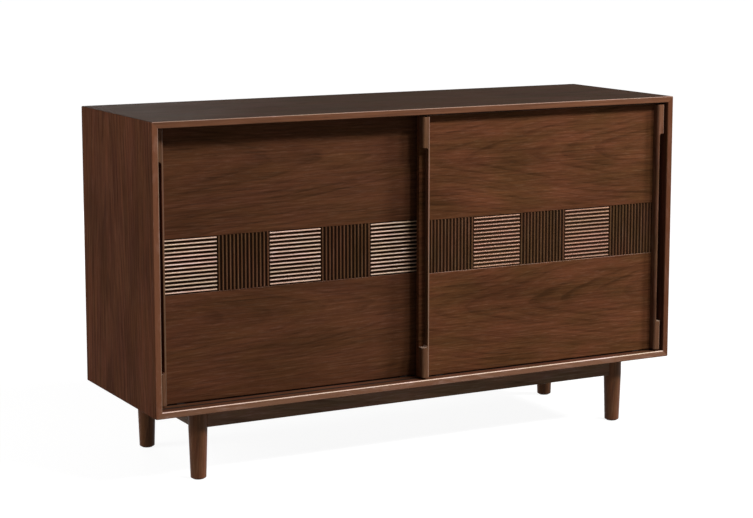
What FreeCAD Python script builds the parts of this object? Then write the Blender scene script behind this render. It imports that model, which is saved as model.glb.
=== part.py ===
import FreeCAD, Part

import os
from dataclasses import dataclass

# Sliding door cabinet: a mitred case on a legged base, closed by two doors that slide past each other.
# Millimetres. The origin is on the floor under the middle of the case.
# +X runs to the right, +Y to the back and +Z up, so the doors face -Y.

# Case
CASE_WIDTH = 1400.0
CASE_DEPTH = 443.0
CASE_HEIGHT = 665.0
BOARD = 16.0
CORNER_ROUND = 2.5
ARRIS = 1.8
BACK_THICKNESS = 5.0
BACK_REBATE = 8.0
TONGUE_THICKNESS = 4.0
TONGUE_WIDTH = 12.0
TONGUE_FROM_INSIDE = 9.0
TONGUE_END_GAP = 30.0

# Base
BASE_HEIGHT = 165.0
LEG_INSET_X = 126.6
LEG_INSET_Y = 63.0
LEG_TOP_RADIUS = 22.0
LEG_FOOT_RADIUS = 18.3
LEG_FOOT_CHAMFER = 2.0
LEG_SWELL = 0.2
GLIDE_RADIUS = 13.0
GLIDE_THICKNESS = 2.0
APRON_HEIGHT = 45.0
APRON_THICKNESS = 24.0
TENON_HEIGHT = 30.0
TENON_THICKNESS = 8.0
TENON_TO_LEG_AXIS = 8.0
BRACE_FROM_CORNER = 30.0
BRACE_THICKNESS = 18.0
BRACE_HEIGHT = 40.0

# Inside
DIVIDER_SETBACK = 4.0
DIVIDER_HOUSING = 4.0
SHELF_HEIGHT = 308.0
SHELF_SIDE_GAP = 0.5
SHELF_SETBACK = 12.0
CLEAT_WIDTH = 12.0
CLEAT_HEIGHT = 18.0
CLEAT_SETBACK = 15.0
CLEAT_CHAMFER = 4.0

# Doors
DOOR_BOARD = 12.0
DOOR_OVERLAP = 37.0
DOOR_SIDE_GAP = 6.0
DOOR_TOP_GAP = 3.0
DOOR_BOTTOM_GAP = 3.0
FRONT_DOOR_SETBACK = 4.0
PASSING_GAP = 1.5
FRONT_GRIP_DEPTH = 18.0
REAR_GRIP_DEPTH = 14.0
GRIP_WIDTH = 20.5
GRIP_ROUND = 6.0
GRIP_END_GAP = 1.5
NOTCH_LENGTH = 479.0
NOTCH_WIDTH = 14.5
NOTCH_ROUND = 6.0
SCOOP_DEPTH = 2.0
BAND_HEIGHT = 128.0
TILE_COUNT = 5
TILE_THICKNESS = 5.0
RIBS_PER_TILE = 14
RIB_WIDTH = 4.6
RIB_CROWN = 0.25
FLUTE_DEPTH = 3.0

# Running gear of the doors
TRACK_WIDTH = 8.0
TRACK_SLOT = 5.0
BOTTOM_TRACK_HEIGHT = 5.0
BOTTOM_TRACK_FLOOR = 1.5
TOP_TRACK_HEIGHT = 8.0
TOP_TRACK_ROOF = 1.0
ROLLER_FROM_EDGE = 60.0
ROLLER_RADIUS = 11.0
ROLLER_WIDTH = 3.2
ROLLER_CLEARANCE = 0.3
AXLE_RADIUS = 1.5
AXLE_CLEARANCE = 0.05
HOUSING_LENGTH = 40.0
HOUSING_WIDTH = 7.0
HOUSING_HEIGHT = 20.0
HOUSING_SIDE_GAP = 0.5
HOUSING_END_GAP = 2.0
HOUSING_TOP_GAP = 1.0
GUIDE_LENGTH = 30.0
GUIDE_SEAT = 15.0
GUIDE_TONGUE_WIDTH = 3.6
GUIDE_TONGUE_IN_TRACK = 5.0
BUFFER_WIDTH = 8.0
BUFFER_LENGTH = 25.0
BUFFER_CLEARANCE = 0.3
BUFFER_FROM_EDGE = 60.0

# Places that follow from the sizes above
X_AXIS = FreeCAD.Vector(1, 0, 0)
Y_AXIS = FreeCAD.Vector(0, 1, 0)
Z_AXIS = FreeCAD.Vector(0, 0, 1)
ROOT_2 = 2 ** 0.5
FRONT = -CASE_DEPTH / 2
REAR = CASE_DEPTH / 2
CASE_BOTTOM = BASE_HEIGHT
CASE_TOP = BASE_HEIGHT + CASE_HEIGHT
INSIDE = CASE_WIDTH / 2 - BOARD
FLOOR = CASE_BOTTOM + BOARD
CEILING = CASE_TOP - BOARD
BACK_FACE = REAR - BACK_THICKNESS
DOOR_WIDTH = INSIDE - DOOR_SIDE_GAP + DOOR_OVERLAP / 2
DOOR_BOTTOM = FLOOR + DOOR_BOTTOM_GAP
DOOR_TOP = CEILING - DOOR_TOP_GAP
DOOR_MIDDLE = (DOOR_BOTTOM + DOOR_TOP) / 2
FRONT_DOOR_FACE = FRONT + FRONT_DOOR_SETBACK + FRONT_GRIP_DEPTH
REAR_DOOR_FACE = FRONT_DOOR_FACE + DOOR_BOARD + PASSING_GAP + REAR_GRIP_DEPTH
DIVIDER_FRONT = REAR_DOOR_FACE + DOOR_BOARD + DIVIDER_SETBACK
SHELF_FRONT = DIVIDER_FRONT + SHELF_SETBACK
SHELF_Z = FLOOR + SHELF_HEIGHT
LEG_X = CASE_WIDTH / 2 - LEG_INSET_X
LEG_Y = CASE_DEPTH / 2 - LEG_INSET_Y
APRON_Z = (CASE_BOTTOM - APRON_HEIGHT, CASE_BOTTOM)
ROLLER_Z = FLOOR - BOTTOM_TRACK_HEIGHT + BOTTOM_TRACK_FLOOR + ROLLER_CLEARANCE + ROLLER_RADIUS


@dataclass
class Door:
    """One door: its name and place, the depth of its grips and the way its first tile's ribs run."""

    name: str
    left: float
    face: float
    grip_depth: float
    first_ribs_level: bool

    @property
    def right(self):
        return self.left + DOOR_WIDTH

    @property
    def back(self):
        return self.face + DOOR_BOARD

    @property
    def rail(self):
        """Distance from front to back at which the door's tracks and running gear lie."""
        return self.face + DOOR_BOARD / 2

    @property
    def running_gear_x(self):
        return (self.left + ROLLER_FROM_EDGE, self.right - ROLLER_FROM_EDGE)


LEFT_DOOR = Door("left", -INSIDE + DOOR_SIDE_GAP, REAR_DOOR_FACE, REAR_GRIP_DEPTH, True)
RIGHT_DOOR = Door("right", INSIDE - DOOR_SIDE_GAP - DOOR_WIDTH, FRONT_DOOR_FACE, FRONT_GRIP_DEPTH, False)


# Basic shapes

def block(x_range, y_range, z_range):
    """Box between two values on each axis, given in either order."""
    lows = [min(r) for r in (x_range, y_range, z_range)]
    sizes = [abs(r[1] - r[0]) for r in (x_range, y_range, z_range)]
    return Part.makeBox(*sizes, FreeCAD.Vector(*lows))


def around(middle, width):
    return (middle - width / 2, middle + width / 2)


def rod(radius, start, end):
    """Cylinder from one point to another."""
    run = end - start
    return Part.makeCylinder(radius, run.Length, start, run)


def prism(points, run):
    """Flat outline through the points, swept along a vector."""
    return Part.Face(Part.makePolygon(points + points[:1])).extrude(run)


def lines(points):
    """Straight edges from each point to the next."""
    return [Part.LineSegment(a, b).toShape() for a, b in zip(points, points[1:])]


def runs_along(edge, axis):
    if not isinstance(edge.Curve, Part.Line):
        return False
    return abs(edge.tangentAt(edge.FirstParameter).dot(axis)) > 0.999


def edges_at(shape, axis, value):
    """Edges whose ends lie in the plane where this axis has this value."""
    return [e for e in shape.Edges if all(abs(v.Point.dot(axis) - value) < 0.001 for v in e.Vertexes)]


def cut_all(shape, tools):
    return shape.cut(Part.makeCompound(tools))


# Case

def case_envelope():
    """Outside of the closed case, with its long corners and its front outline rounded."""
    body = block((-CASE_WIDTH / 2, CASE_WIDTH / 2), (FRONT, REAR), (CASE_BOTTOM, CASE_TOP))
    body = body.makeFillet(CORNER_ROUND, [e for e in body.Edges if runs_along(e, Y_AXIS)])
    return body.makeFillet(min(ARRIS, BOARD / 3), edges_at(body, Y_AXIS, FRONT))


def back_panel():
    """Thin back panel, which fills the rebate in the four boards."""
    x = INSIDE + BACK_REBATE
    return block((-x, x), (BACK_FACE, REAR), (FLOOR - BACK_REBATE, CEILING + BACK_REBATE))


def mitre_tongue(side, end):
    """Loose plywood tongue across one mitre, square to the joint; side and end are -1 or 1."""
    inner_z = CEILING if end > 0 else FLOOR
    offset = TONGUE_FROM_INSIDE / ROOT_2
    start = FreeCAD.Vector(side * (INSIDE + offset), FRONT + TONGUE_END_GAP, inner_z + end * offset)
    along = FreeCAD.Vector(side, 0, end) * (TONGUE_THICKNESS / 2 / ROOT_2)
    across = FreeCAD.Vector(side, 0, -end) * (TONGUE_WIDTH / 2 / ROOT_2)
    corners = [start + along + across, start - along + across,
               start - along - across, start + along - across]
    return prism(corners, Y_AXIS * (CASE_DEPTH - 2 * TONGUE_END_GAP))


def mitre_tongues():
    return [mitre_tongue(side, end) for side in (-1, 1) for end in (-1, 1)]


def mitred_board(outer, inner, axis):
    """Case board with both ends mitred; outer and inner are the end points of its two faces."""
    points = [FreeCAD.Vector(x, FRONT, z) for x, z in (outer[0], outer[1], inner[1], inner[0])]
    board = prism(points, Y_AXIS * CASE_DEPTH)
    long_edges = [e for e in edges_at(board, Y_AXIS, FRONT) if runs_along(e, axis)]
    inner_edge = min(long_edges, key=lambda e: e.Length)
    board = board.makeFillet(min(ARRIS, BOARD / 3), [inner_edge]).common(case_envelope())
    return cut_all(board, mitre_tongues() + [back_panel()])


def top_panel():
    outer = ((-CASE_WIDTH / 2, CASE_TOP), (CASE_WIDTH / 2, CASE_TOP))
    inner = ((-INSIDE, CEILING), (INSIDE, CEILING))
    grooves = [track_blank(door, CEILING, TOP_TRACK_HEIGHT) for door in (LEFT_DOOR, RIGHT_DOOR)]
    return cut_all(mitred_board(outer, inner, X_AXIS), grooves + [centre_divider()])


def bottom_panel():
    outer = ((-CASE_WIDTH / 2, CASE_BOTTOM), (CASE_WIDTH / 2, CASE_BOTTOM))
    inner = ((-INSIDE, FLOOR), (INSIDE, FLOOR))
    grooves = [track_blank(door, FLOOR, -BOTTOM_TRACK_HEIGHT) for door in (LEFT_DOOR, RIGHT_DOOR)]
    return cut_all(mitred_board(outer, inner, X_AXIS), grooves + [centre_divider()])


def side_panel(side):
    """Side board of the case; side is -1 for left and 1 for right."""
    outer = ((side * CASE_WIDTH / 2, CASE_BOTTOM), (side * CASE_WIDTH / 2, CASE_TOP))
    inner = ((side * INSIDE, FLOOR), (side * INSIDE, CEILING))
    return mitred_board(outer, inner, Z_AXIS)


# Inside

def centre_divider():
    """Upright board between the bays, let a little way into the top and bottom boards."""
    z_range = (FLOOR - DIVIDER_HOUSING, CEILING + DIVIDER_HOUSING)
    return block(around(0, BOARD), (DIVIDER_FRONT, BACK_FACE), z_range)


def shelf(side):
    x_range = (side * (INSIDE - SHELF_SIDE_GAP), side * (BOARD / 2 + SHELF_SIDE_GAP))
    return block(x_range, (SHELF_FRONT, BACK_FACE), (SHELF_Z, SHELF_Z + BOARD))


def shelf_cleat(wall_x, inward):
    """Batten on a wall under one end of a shelf, with its lower inner edge chamfered."""
    inner_x = wall_x + inward * CLEAT_WIDTH
    bottom = SHELF_Z - CLEAT_HEIGHT
    batten = block((wall_x, inner_x), (SHELF_FRONT + CLEAT_SETBACK, BACK_FACE), (bottom, SHELF_Z))
    lower_edge = [e for e in edges_at(batten, Z_AXIS, bottom) if abs(e.CenterOfMass.x - inner_x) < 0.001]
    return batten.makeChamfer(CLEAT_CHAMFER, lower_edge)


def shelf_cleats():
    cleats = []
    for side in (-1, 1):
        cleats.append(shelf_cleat(side * INSIDE, -side))
        cleats.append(shelf_cleat(side * BOARD / 2, side))
    return cleats


# Tracks and buffers

def track_blank(door, mouth_z, height):
    """Outline of one track, from the board's face up or down by its height; its groove is the same."""
    return block((-INSIDE, INSIDE), around(door.rail, TRACK_WIDTH), (mouth_z, mouth_z + height))


def bottom_track(door):
    depth = BOTTOM_TRACK_HEIGHT - BOTTOM_TRACK_FLOOR
    slot = block((-INSIDE, INSIDE), around(door.rail, TRACK_SLOT), (FLOOR, FLOOR - depth))
    return track_blank(door, FLOOR, -BOTTOM_TRACK_HEIGHT).cut(slot)


def top_track(door):
    depth = TOP_TRACK_HEIGHT - TOP_TRACK_ROOF
    slot = block((-INSIDE, INSIDE), around(door.rail, TRACK_SLOT), (CEILING, CEILING + depth))
    return track_blank(door, CEILING, TOP_TRACK_HEIGHT).cut(slot)


def door_buffers():
    """Rubber buffers on both case sides, two for each door's edge."""
    buffers = []
    for side in (-1, 1):
        x_range = (side * INSIDE, side * (INSIDE - DOOR_SIDE_GAP + BUFFER_CLEARANCE))
        for door in (LEFT_DOOR, RIGHT_DOOR):
            for z in (FLOOR + BUFFER_FROM_EDGE, CEILING - BUFFER_FROM_EDGE):
                buffers.append(block(x_range, around(door.rail, BUFFER_WIDTH), around(z, BUFFER_LENGTH)))
    return buffers


# Base

def leg_places():
    """The four legs as signs of x and y."""
    return [(x, y) for x in (-1, 1) for y in (-1, 1)]


def leg_blank(x, y):
    """Turned leg before its mortises: straight beside the aprons, then tapered with a slight swell."""
    foot_rim = FreeCAD.Vector(LEG_FOOT_RADIUS, 0, GLIDE_THICKNESS + LEG_FOOT_CHAMFER)
    shoulder = FreeCAD.Vector(LEG_TOP_RADIUS, 0, CASE_BOTTOM - APRON_HEIGHT)
    taper = Part.BezierCurve()
    taper.setPoles([foot_rim, (foot_rim + shoulder) / 2 + X_AXIS * LEG_SWELL, shoulder])
    rest = lines([shoulder, FreeCAD.Vector(LEG_TOP_RADIUS, 0, CASE_BOTTOM), Z_AXIS * CASE_BOTTOM,
                  Z_AXIS * GLIDE_THICKNESS, foot_rim - (X_AXIS + Z_AXIS) * LEG_FOOT_CHAMFER, foot_rim])
    turned = Part.Face(Part.Wire([taper.toShape()] + rest)).revolve(FreeCAD.Vector(), Z_AXIS, 360)
    return turned.translated(FreeCAD.Vector(x * LEG_X, y * LEG_Y, 0))


def tenon_z():
    return around(CASE_BOTTOM - APRON_HEIGHT / 2, TENON_HEIGHT)


def long_tenon(x, y):
    """Tenon of a front or rear apron in one leg."""
    x_range = (x * (LEG_X - LEG_TOP_RADIUS - TENON_THICKNESS / 2), x * (LEG_X - TENON_TO_LEG_AXIS))
    return block(x_range, around(y * LEG_Y, TENON_THICKNESS), tenon_z())


def short_tenon(x, y):
    """Tenon of a side apron in one leg."""
    y_range = (y * (LEG_Y - LEG_TOP_RADIUS - TENON_THICKNESS / 2), y * (LEG_Y - TENON_TO_LEG_AXIS))
    return block(around(x * LEG_X, TENON_THICKNESS), y_range, tenon_z())


def long_apron(y):
    """Front or rear apron, coped to the round legs and tenoned into them."""
    rail = block((-LEG_X, LEG_X), around(y * LEG_Y, APRON_THICKNESS), APRON_Z)
    rail = cut_all(rail, [leg_blank(x, y) for x in (-1, 1)])
    return rail.fuse([long_tenon(x, y) for x in (-1, 1)]).removeSplitter()


def short_apron(x):
    """Side apron, coped to the round legs and tenoned into them."""
    rail = block(around(x * LEG_X, APRON_THICKNESS), (-LEG_Y, LEG_Y), APRON_Z)
    rail = cut_all(rail, [leg_blank(x, y) for y in (-1, 1)])
    return rail.fuse([short_tenon(x, y) for y in (-1, 1)]).removeSplitter()


def corner_brace(x, y):
    """Diagonal brace between two aprons' inner faces, behind a leg."""
    inset = APRON_THICKNESS / 2
    corner = FreeCAD.Vector(x * (LEG_X - inset), y * (LEG_Y - inset), CASE_BOTTOM)
    near = BRACE_FROM_CORNER
    far = BRACE_FROM_CORNER + BRACE_THICKNESS * ROOT_2
    points = [corner - X_AXIS * x * near, corner - X_AXIS * x * far,
              corner - Y_AXIS * y * far, corner - Y_AXIS * y * near]
    return prism(points, -Z_AXIS * BRACE_HEIGHT)


def leg(x, y):
    return cut_all(leg_blank(x, y), [long_tenon(x, y), short_tenon(x, y)])


def foot_glide(x, y):
    return Part.makeCylinder(GLIDE_RADIUS, GLIDE_THICKNESS, FreeCAD.Vector(x * LEG_X, y * LEG_Y, 0))


# Doors

def band_z():
    return around(DOOR_MIDDLE, BAND_HEIGHT)


def tile_span(door, index):
    """Left and right ends of one tile of the band."""
    width = (DOOR_WIDTH - 2 * GRIP_WIDTH) / TILE_COUNT
    start = door.left + GRIP_WIDTH + index * width
    return (start, start + width)


def ribbed_outline(length, place):
    """Crowned ribs with flutes between them, closed by a flat back; place(along, deep) gives a point."""
    pitch = length / RIBS_PER_TILE
    edges = []
    run = [place(0, TILE_THICKNESS), place(0, FLUTE_DEPTH)]
    for index in range(RIBS_PER_TILE):
        start, end = around((index + 0.5) * pitch, RIB_WIDTH)
        run += [place(start, FLUTE_DEPTH), place(start, RIB_CROWN)]
        crown = Part.Arc(place(start, RIB_CROWN), place((start + end) / 2, 0), place(end, RIB_CROWN))
        edges += lines(run) + [crown.toShape()]
        run = [place(end, RIB_CROWN), place(end, FLUTE_DEPTH)]
    run += [place(length, FLUTE_DEPTH), place(length, TILE_THICKNESS), place(0, TILE_THICKNESS)]
    return Part.Face(Part.Wire(edges + lines(run)))


def fluted_tile(door, index):
    """One square of the band; the ribs of neighbouring squares run across each other."""
    start, end = tile_span(door, index)
    low, high = band_z()
    corner = FreeCAD.Vector(start, door.face, low)
    ribs_level = door.first_ribs_level == (index % 2 == 0)
    if ribs_level:
        outline = ribbed_outline(high - low, lambda along, deep: corner + Z_AXIS * along + Y_AXIS * deep)
        return outline.extrude(X_AXIS * (end - start))
    outline = ribbed_outline(end - start, lambda along, deep: corner + X_AXIS * along + Y_AXIS * deep)
    return outline.extrude(Z_AXIS * (high - low))


def housing_blank(door, x):
    """Outline of a roller housing, which is also its mortise in the door's lower edge."""
    z_range = (DOOR_BOTTOM, DOOR_BOTTOM + HOUSING_HEIGHT)
    return block(around(x, HOUSING_LENGTH), around(door.rail, HOUSING_WIDTH), z_range)


def guide_seat(door, x):
    """Buried part of a top guide, which is also its mortise in the door's upper edge."""
    z_range = (DOOR_TOP - GUIDE_SEAT, DOOR_TOP)
    return block(around(x, GUIDE_LENGTH), around(door.rail, HOUSING_WIDTH), z_range)


def door_panel(door):
    """Door board with the trench for its band and the mortises for its running gear."""
    board = block((door.left, door.right), (door.face, door.back), (DOOR_BOTTOM, DOOR_TOP))
    trench = block((door.left + GRIP_WIDTH, door.right - GRIP_WIDTH),
                   (door.face, door.face + TILE_THICKNESS), band_z())
    mortises = [make(door, x) for x in door.running_gear_x for make in (housing_blank, guide_seat)]
    return cut_all(board, [trench] + mortises)


def finger_notch(door, outer_x, inward):
    """Space for the fingers at the outer side of a grip, undercut behind the lip that they pull."""
    low, high = around(DOOR_MIDDLE, NOTCH_LENGTH)
    wall_x = outer_x + inward * NOTCH_WIDTH
    opening = block((outer_x - inward * NOTCH_WIDTH, wall_x),
                    (door.face - 2 * door.grip_depth, door.face), (low, high))
    wall_ends = [e for e in edges_at(opening, X_AXIS, wall_x) if runs_along(e, Y_AXIS)]
    opening = opening.makeFillet(NOTCH_ROUND, wall_ends)
    foot = FreeCAD.Vector(wall_x, door.face, low + NOTCH_ROUND)
    undercut = [foot, foot - Y_AXIS * door.grip_depth / 2, foot + X_AXIS * inward * SCOOP_DEPTH]
    return opening.fuse(prism(undercut, Z_AXIS * (NOTCH_LENGTH - 2 * NOTCH_ROUND)))


def grip(door, outer_x, inward):
    """Upright bar on a door's edge: D-shaped in section, with a long finger notch on its outer side."""
    z_range = (DOOR_BOTTOM + GRIP_END_GAP, DOOR_TOP - GRIP_END_GAP)
    front = door.face - door.grip_depth
    bar = block((outer_x, outer_x + inward * GRIP_WIDTH), (front, door.face), z_range)
    bar = bar.makeFillet(GRIP_ROUND, [e for e in edges_at(bar, Y_AXIS, front) if runs_along(e, Z_AXIS)])
    return bar.cut(finger_notch(door, outer_x, inward))


def axle(door, x):
    y_low, y_high = around(door.rail, HOUSING_WIDTH)
    return rod(AXLE_RADIUS, FreeCAD.Vector(x, y_low, ROLLER_Z), FreeCAD.Vector(x, y_high, ROLLER_Z))


def roller_housing(door, x):
    """Plastic housing with a slot from below for its roller and a cross hole for the axle."""
    slot = block(around(x, 2 * (ROLLER_RADIUS + HOUSING_END_GAP)),
                 around(door.rail, ROLLER_WIDTH + 2 * HOUSING_SIDE_GAP),
                 (DOOR_BOTTOM, ROLLER_Z + ROLLER_RADIUS + HOUSING_TOP_GAP))
    return cut_all(housing_blank(door, x), [slot, axle(door, x)])


def roller(door, x):
    """Roller that runs in the bottom track, free to turn on its axle."""
    y_low, y_high = around(door.rail, ROLLER_WIDTH)
    start = FreeCAD.Vector(x, y_low, ROLLER_Z)
    end = FreeCAD.Vector(x, y_high, ROLLER_Z)
    return rod(ROLLER_RADIUS, start, end).cut(rod(AXLE_RADIUS + AXLE_CLEARANCE, start, end))


def top_guide(door, x):
    """Nylon guide let into the door's upper edge, with a tongue that runs in the top track."""
    tongue = block(around(x, GUIDE_LENGTH), around(door.rail, GUIDE_TONGUE_WIDTH),
                   (DOOR_TOP, CEILING + GUIDE_TONGUE_IN_TRACK))
    return guide_seat(door, x).fuse(tongue)


# Nodes

def case_nodes():
    """Every piece of the case by node name."""
    return {
        "top_panel": [top_panel()],
        "bottom_panel": [bottom_panel()],
        "left_side_panel": [side_panel(-1)],
        "right_side_panel": [side_panel(1)],
        "back_panel": [back_panel()],
        "mitre_tongues": mitre_tongues(),
        "centre_divider": [centre_divider()],
        "left_shelf": [shelf(-1)],
        "right_shelf": [shelf(1)],
        "shelf_cleats": shelf_cleats(),
        "front_bottom_track": [bottom_track(RIGHT_DOOR)],
        "rear_bottom_track": [bottom_track(LEFT_DOOR)],
        "front_top_track": [top_track(RIGHT_DOOR)],
        "rear_top_track": [top_track(LEFT_DOOR)],
        "door_buffers": door_buffers(),
    }


def base_nodes():
    """Every piece of the base by node name."""
    return {
        "front_legs": [leg(x, -1) for x in (-1, 1)],
        "rear_legs": [leg(x, 1) for x in (-1, 1)],
        "foot_glides": [foot_glide(x, y) for x, y in leg_places()],
        "front_apron": [long_apron(-1)],
        "rear_apron": [long_apron(1)],
        "left_apron": [short_apron(-1)],
        "right_apron": [short_apron(1)],
        "corner_braces": [corner_brace(x, y) for x, y in leg_places()],
    }


def door_nodes(door):
    """Every piece of one door by node name."""
    prefix = door.name + "_door_"
    left_x, right_x = door.running_gear_x
    nodes = {
        prefix + "panel": [door_panel(door)],
        prefix + "left_grip": [grip(door, door.left, 1)],
        prefix + "right_grip": [grip(door, door.right, -1)],
        prefix + "left_roller": [roller(door, left_x)],
        prefix + "right_roller": [roller(door, right_x)],
        prefix + "roller_housings": [roller_housing(door, x) for x in door.running_gear_x],
        prefix + "axles": [axle(door, x) for x in door.running_gear_x],
        prefix + "top_guides": [top_guide(door, x) for x in door.running_gear_x],
    }
    for index in range(TILE_COUNT):
        nodes[prefix + "fluted_tile_" + str(index + 1)] = [fluted_tile(door, index)]
    return nodes


def write_nodes(nodes, folder):
    """Write one STEP file for each node, named after it."""
    os.makedirs(folder, exist_ok=True)
    for name, solids in nodes.items():
        shape = solids[0] if len(solids) == 1 else Part.makeCompound(solids)
        shape.exportStep(os.path.join(folder, name + ".step"))


write_nodes({**case_nodes(), **base_nodes(), **door_nodes(LEFT_DOOR), **door_nodes(RIGHT_DOOR)}, "parts")
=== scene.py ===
"""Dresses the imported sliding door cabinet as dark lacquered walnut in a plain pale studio.

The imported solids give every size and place, in metres, with +Z up and the doors facing -Y.
"""

import logging
import math
from dataclasses import dataclass, replace
from enum import Enum
from functools import cache
from typing import Any, Callable, Iterable, Sequence

import bmesh
import bpy
from mathutils import Matrix, Vector


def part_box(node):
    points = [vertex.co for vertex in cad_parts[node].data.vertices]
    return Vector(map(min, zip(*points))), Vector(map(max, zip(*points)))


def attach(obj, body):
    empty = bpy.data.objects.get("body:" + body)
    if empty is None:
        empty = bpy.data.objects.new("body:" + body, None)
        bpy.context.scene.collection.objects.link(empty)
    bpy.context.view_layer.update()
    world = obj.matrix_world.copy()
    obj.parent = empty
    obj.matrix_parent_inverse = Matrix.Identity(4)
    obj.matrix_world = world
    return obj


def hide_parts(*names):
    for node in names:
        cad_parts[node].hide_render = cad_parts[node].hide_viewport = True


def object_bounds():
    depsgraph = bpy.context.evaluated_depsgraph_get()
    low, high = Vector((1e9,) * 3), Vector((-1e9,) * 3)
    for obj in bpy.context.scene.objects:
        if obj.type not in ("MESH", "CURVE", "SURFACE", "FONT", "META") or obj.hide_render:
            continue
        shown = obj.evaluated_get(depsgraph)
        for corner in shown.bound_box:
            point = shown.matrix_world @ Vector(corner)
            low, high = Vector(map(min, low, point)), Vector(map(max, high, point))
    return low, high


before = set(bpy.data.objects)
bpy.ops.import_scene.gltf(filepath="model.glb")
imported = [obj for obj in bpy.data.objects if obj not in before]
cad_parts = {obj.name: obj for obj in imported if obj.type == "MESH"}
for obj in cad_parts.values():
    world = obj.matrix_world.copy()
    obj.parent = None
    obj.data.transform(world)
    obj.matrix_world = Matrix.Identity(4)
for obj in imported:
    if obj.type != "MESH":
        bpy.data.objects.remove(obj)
CAD_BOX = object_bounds()

LOG = logging.getLogger("cabinet")
IMAGE_WIDTH = 753
MM = 0.001

# Points this near are one: corners of loose triangles, points of a spin, and points of one side
CORNER_MERGE = 0.002 * MM
SPIN_MERGE = 0.001 * MM
TOUCH = 0.01 * MM

# Repeats of each noise in a metre of walnut, along the grain and across it
SLOW_SWAY = (2.2, 7.0)
QUICK_SWAY = (10.0, 60.0)
FADING = (5.0, 26.0)
FIBRES = (6.0, 220.0)
DASHES = (30.0, 420.0)
CLOUDS = (4.0, 11.0)
WARM_PATCHES = (7.0, 22.0)

# Repeats in a metre of the growth bands along the grain, and of the streaks of painted sheen along
# the grain, across it and away from the log's heart
GROWTH_BANDS = 2.5
STREAKS = (14.0, 300.0, 200.0)

# Ranges of a noise's grey values that become 0 to 1
SOFT = (0.3, 0.7)
FIRM = (0.35, 0.65)
STROKE_PEAKS = (0.64, 0.76)
GLEAM_PEAKS = (0.5, 0.74)
SMEAR_PEAKS = (0.3, 0.75)

# Shares of one ring at which its late wood starts, is darkest and ends
LATE_WOOD = (0.45, 0.9, 1.0)

# How much each part of the figure counts
QUICK_SWAY_DEPTH = 6 * MM
LINE_SHARE = 0.6
GROWTH_SHARE = 0.5
LEAST_LINE = 0.1
PORES_ON_LINES = 0.05

# Colours and measures that all walnut has
PORE_COLOUR = "1c100a"
PORE_DULLNESS = 0.12
PORE_RELIEF = -0.8
FIBRE_RELIEF = -0.2
RELIEF_STRENGTH = 0.35
RELIEF_HEIGHT = 0.15 * MM
# Painted sheen: how much paler and greyer the gleaming streaks make the colour
GLEAM_GAIN = (1.45, 1.8, 2.3, 1.0)
BANDING_DEPTH = 0.9 * MM
BANDING_EDGE = 0.2 * MM
BANDING_FIBRE = 0.6

# Smears of handling: repeats in a metre, broad and fine, and how much the fine ones count
BROAD_SMEARS = 6.0
FINE_SMEARS = 90.0
FINE_SHARE = 0.35
MOST_SMEARS = 1 + FINE_SHARE

# Changes of roughness from the cleanest spots to the most handled ones
WOOD_SHEEN = (-0.04, 0.06)
MOULDED_SHEEN = (-0.06, 0.08)

# Angles in degrees at which two faces meet: one plane, a corner and about a right angle
PLANE = 0.2
CORNER = 60.0
SQUARE = 80.0

# Shapes of boards: growth of the case's inner front rounding, and the round foot of the door boards
ARRIS_GROWTH = 1.5
FOOT_ROUND = 2 * MM
FOOT_STEPS = 4

# Heights above the ground between which the foot of every grip's notch lies, where its ledge gets a
# painted highlight
NOTCH_FOOT = (256 * MM, 263 * MM)

# Parts of a face's normal: flat faces lie along an axis, and roundings with a painted highlight
# don't face left or down
FLAT = 0.98
PAINTED_HIGHLIGHT_ABOVE = -0.2
# Grip roundings facing right further than this, and ledges facing up, get a painted highlight
GRIP_HIGHLIGHT_ABOVE = 0.3
# Faces of level ribs that point lower than RIB_UNDERSIDE get painted shade, and those below RIB_TOP
# a painted highlight
RIB_UNDERSIDE = -0.35
RIB_TOP = 0.6

Colour = tuple[float, float, float, float]
Point = tuple[float, float, float]
Socket = bpy.types.NodeSocket
Node = bpy.types.Node
NodeTree = bpy.types.NodeTree
Material = bpy.types.Material
Shape = bmesh.types.BMesh
Face = bmesh.types.BMFace
Edge = bmesh.types.BMEdge


class Run(Enum):
    """Way the grain runs: the object axes along the grain, across it and into the face."""

    LEVEL_ON_FRONT = "XZY"
    LEVEL_ON_TOP = "XYZ"
    UPRIGHT_ON_FRONT = "ZXY"
    UPRIGHT_ON_SIDE = "ZYX"
    DEEP_ON_SIDE = "YZX"
    DEEP_ON_TOP = "YXZ"


def tone(code: str) -> Colour:
    """Turn a colour written as six hex digits into linear red, green, blue and alpha.

    Args:
        code: Screen colour such as "5c3a28".

    Returns:
        The linear colour, fully opaque.
    """
    screen = [int(code[i:i + 2], 16) / 255 for i in (0, 2, 4)]
    linear = [c / 12.92 if c <= 0.04045 else ((c + 0.055) / 1.055) ** 2.4 for c in screen]
    return (linear[0], linear[1], linear[2], 1.0)


# Nodes


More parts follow.
